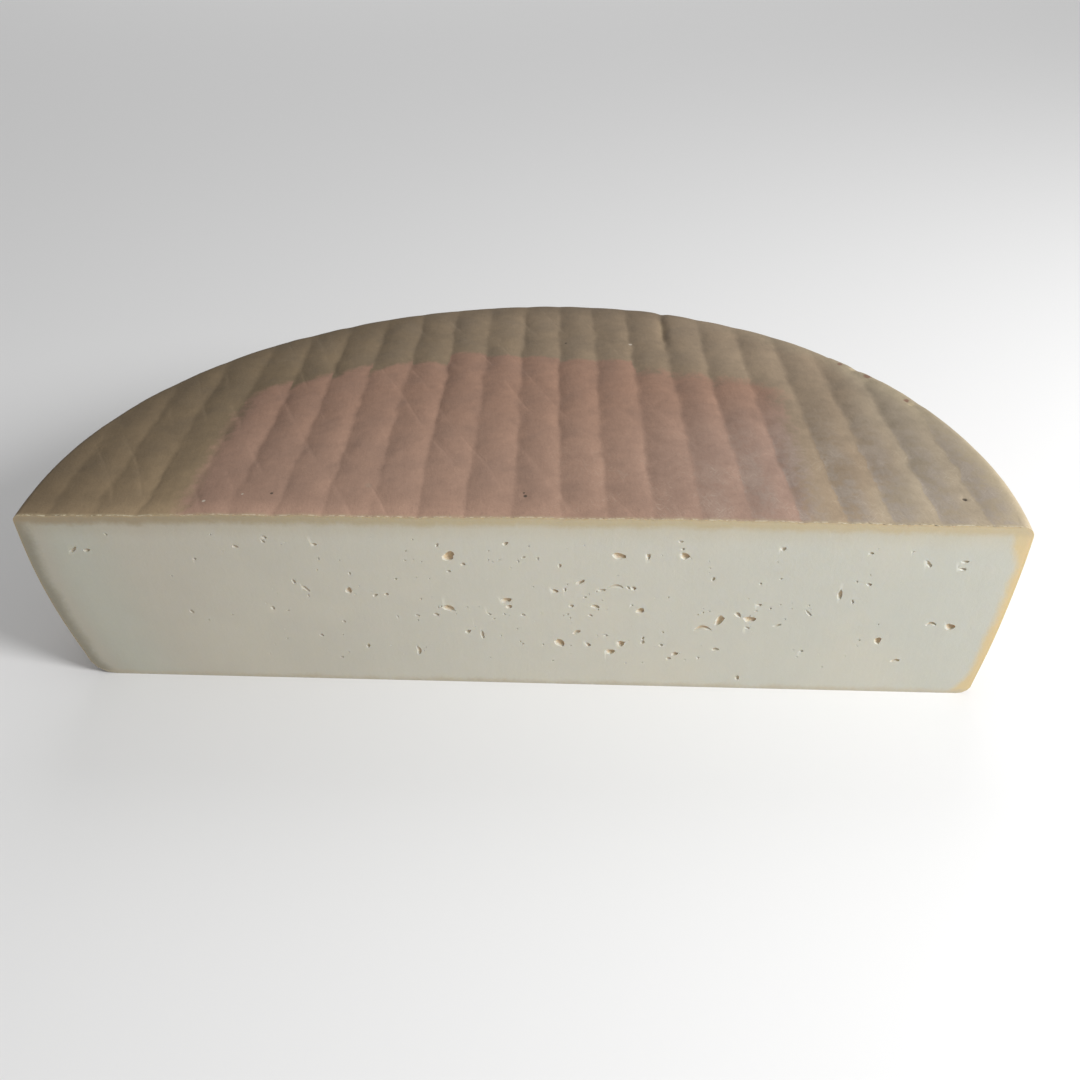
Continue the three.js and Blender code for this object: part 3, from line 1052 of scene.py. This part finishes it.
def pasteFinish():
    # Ivory paste that turns golden and then brown towards the rind, with the knife's faint
    # streaks, a close grain, and painted warm shade on the eyes' walls. Light enters it a little.
    f = Finish("paste")
    x = f.axis("X")
    z = f.axis("Z")
    wide = f.noise(paste["wide"], 2)
    patch = f.noise(paste["patch"], 3)
    grain = f.noise(paste["grain"], 3, rough=0.6)
    fine = f.noise(paste["fine"], 2, rough=0.6)
    streak = f.noise(paste["streak"], 3, (0.5, 1.0, 14.0))
    colour = f.mix(f.spread(x, -130, 10), paste["left"], paste["ivory"])
    colour = f.mix(f.spread(x, 10, 140), colour, paste["right"])
    colour = f.mix(f.spread(wide, 0.45, 0.75, 0, 0.5), colour, paste["warm"])
    # Distances below the rind, in millimetres, made uneven.
    ragged = f.vary(grain, 1.6, f.vary(patch, 3.0))
    underLeft = f.math("ADD", f.value("underLeft"), ragged)
    underRight = f.math("ADD", f.value("underRight"), ragged)
    underTop = f.math("ADD", f.value("underTop"), f.times(ragged, 0.7))
    # The bands under the rind: at the left, at the right, at the top and along the bottom.
    cool = f.times(f.spread(underLeft, 4, 12), f.spread(underLeft, 40, 15, 0, 0.6))
    colour = f.mix(cool, colour, paste["leftCool"])
    fade = f.math("ADD", f.spread(underLeft, 1, 6, 0.72, 0), f.spread(underLeft, 2, 17, 0.24, 0))
    colour = f.mix(fade, colour, paste["leftBand"])
    corners = f.math("ADD", f.spread(f.value("underTop"), 16, 0, 0, 3.0), f.spread(z, 9, 1, 0, 2.4))
    underRight = f.math("SUBTRACT", underRight, corners)
    colour = f.mix(f.spread(underRight, 1.0, 4.2, 0.95, 0), colour, paste["rightBand"])
    band = f.mix(f.spread(x, 20, -140), paste["topBand"], paste["topBandLeft"])
    fade = f.math("ADD", f.spread(underTop, 1.6, 4.4, 0.66, 0), f.spread(underTop, 2.5, 10, 0.30, 0))
    colour = f.mix(fade, colour, band)
    colour = f.mix(f.spread(f.math("ADD", z, ragged), 0.0, 2.6, 0.8, 0), colour, paste["bottomBand"])
    near = f.math("MINIMUM", f.value("underLeft"), f.value("underRight"))
    near = f.math("MINIMUM", f.value("underTop"), near)
    colour = f.mix(f.spread(near, 0.1, 0.8, 0.4, 0), colour, paste["rindLine"])
    tone = f.vary(grain, 0.06, 1.0)
    tone = f.vary(streak, 0.025, tone)
    tone = f.vary(patch, 0.05, tone)
    colour = f.shade(colour, tone)
    # Painted shade in the eyes: a warm tan on their walls, darker the deeper the wall lies.
    pit = f.value("pit")
    colour = f.mix(f.spread(pit, 0.15, 0.8, 0, 0.9), colour, paste["eyeShade"])
    colour = f.mix(f.spread(pit, 0.8, 1.6, 0, 0.8), colour, paste["eyeDeepShade"])
    f.put(f.shader.inputs["Base Color"], colour)
    f.put(f.shader.inputs["Roughness"], f.spread(f.math("ADD", patch, grain), 0.7, 1.3, 0.42, 0.58))
    f.shader.inputs["Specular IOR Level"].default_value = paste["gloss"]
    f.shader.inputs["Subsurface Weight"].default_value = paste["glow"]
    f.shader.inputs["Subsurface Radius"].default_value = paste["glowReach"]
    f.shader.inputs["Subsurface Scale"].default_value = 1.0
    normal = f.bump(fine, paste["fineDepth"])
    normal = f.bump(grain, paste["grainDepth"], normal)
    normal = f.bump(streak, paste["streakDepth"], normal)
    f.put(f.shader.inputs["Normal"], normal)
    return f.material


# The piece itself.
points, slots, corner = halfWheelGrid()
cheeseMesh = closedMesh("half_wheel_skin", points, slots)
cheese = bpy.data.objects.new("half_wheel_skin", cheeseMesh)
bpy.context.collection.objects.link(cheese)
cheeseMesh.materials.append(rindFinish())
cheeseMesh.materials.append(pasteFinish())
cutEyes(cheese)
cheese.data.name = "half_wheel_skin"
cheese.data.polygons.foreach_set("use_smooth", np.ones(len(cheese.data.polygons), bool))
cheese.data.set_sharp_from_angle(angle=math.radians(38))
addValues(cheese.data, corner)
addMap(cheese.data)
print("cheese finished")

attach(cheese, "root")
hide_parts("half_wheel")


# Floor and light, in metres and watts: a key from the right and a wash on the floor far behind.
studio = dict(
    floorHalf=6.0,  # half the floor's width
    floorColour=(0.8, 0.8, 0.8, 1),
    ambient=0.35,
    keyPlace=(0.78, -0.30, 0.50),
    keyAim=(0.03, 0.03, 0.03),
    keySize=0.34,
    keyPower=10.5,
    washPlace=(0.0, 2.9, 2.3),
    washAim=(0.0, 2.6, 0.0),
    washSize=3.0,
    washPower=36.0,
)


def addFloor(look):
    half = look["floorHalf"]
    mesh = bpy.data.meshes.new("floor")
    corners = [(-half, -half, 0), (half, -half, 0), (half, half, 0), (-half, half, 0)]
    mesh.from_pydata(corners, [], [(0, 1, 2, 3)])
    material = bpy.data.materials.new("floor")
    material.use_nodes = True
    shader = material.node_tree.nodes["Principled BSDF"]
    shader.inputs["Base Color"].default_value = look["floorColour"]
    shader.inputs["Roughness"].default_value = 0.9
    shader.inputs["Specular IOR Level"].default_value = 0.1
    mesh.materials.append(material)
    floor = bpy.data.objects.new("floor", mesh)
    bpy.context.collection.objects.link(floor)


def addLight(name, look):
    # A soft round light, turned from its place towards its aim.
    place = Vector(look[name + "Place"])
    aim = Vector(look[name + "Aim"])
    data = bpy.data.lights.new(name, "AREA")
    data.shape = "DISK"
    data.size = look[name + "Size"]
    data.energy = look[name + "Power"]
    light = bpy.data.objects.new(name, data)
    turn = (aim - place).to_track_quat("-Z", "Y").to_matrix().to_4x4()
    light.matrix_world = Matrix.Translation(place) @ turn
    bpy.context.collection.objects.link(light)


addFloor(studio)
addLight("key", studio)
addLight("wash", studio)
world = bpy.data.worlds.new("world")
world.use_nodes = True
world.node_tree.nodes["Background"].inputs["Color"].default_value = (1, 1, 1, 1)
world.node_tree.nodes["Background"].inputs["Strength"].default_value = studio["ambient"]
bpy.context.scene.world = world
bpy.context.scene.view_settings.view_transform = "Standard"
bpy.context.scene.view_settings.look = "None"
print("studio lit")
